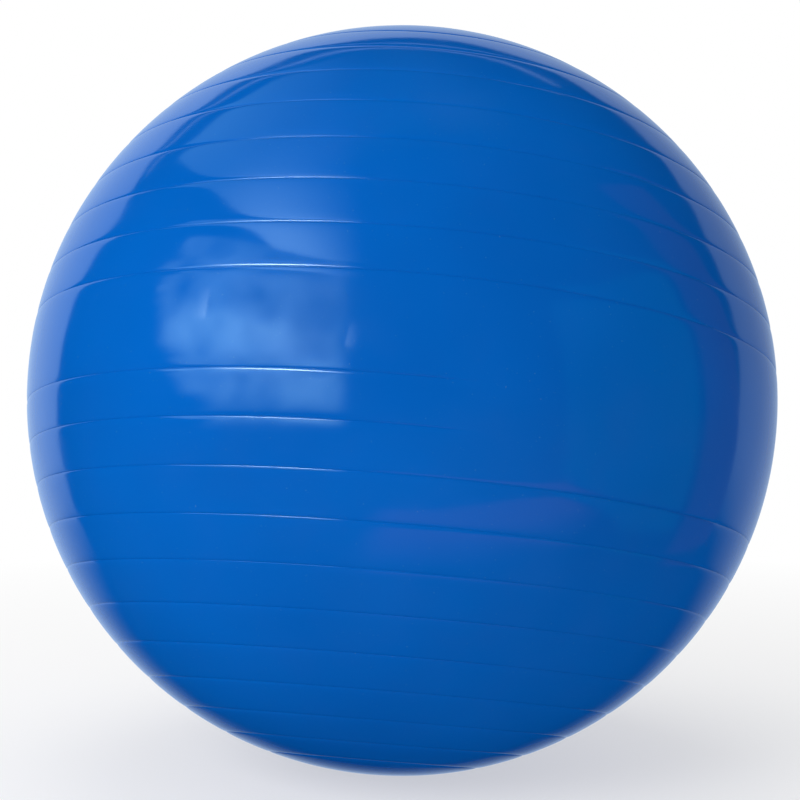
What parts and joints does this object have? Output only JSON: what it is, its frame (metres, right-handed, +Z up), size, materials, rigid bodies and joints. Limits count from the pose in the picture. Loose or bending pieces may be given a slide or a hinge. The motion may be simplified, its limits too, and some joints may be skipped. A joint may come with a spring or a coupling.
{
  "type": "exercise ball",
  "caption": "Large inflated round ball of glossy soft plastic with creased tension rings around it, a plain panel and a plugged air valve.",
  "frame": {"origin": "centre of the flat patch where the ball presses on the floor", "axes": "+Z up. The moulding axis, which the rings run around and the valve sits on, leans 14 degrees back towards +Y and 4.6 degrees towards +X"},
  "size_m": [0.6498, 0.6498, 0.6477],
  "materials": {
    "skin": "glossy blue soft PVC",
    "seat": "satin blue soft PVC",
    "plug": "satin white polyethylene"
  },
  "bodies": {
    "ball": {"ball_shell": "skin", "valve_seat": "seat"},
    "plug": {"valve_plug": "plug"}
  },
  "joints": [
    {"name": "plug_pull", "type": "slide", "parent": "ball", "child": "plug", "axis": [0.0802, 0.2411, 0.9672], "range_m": [0, 0.035]}
  ]
}
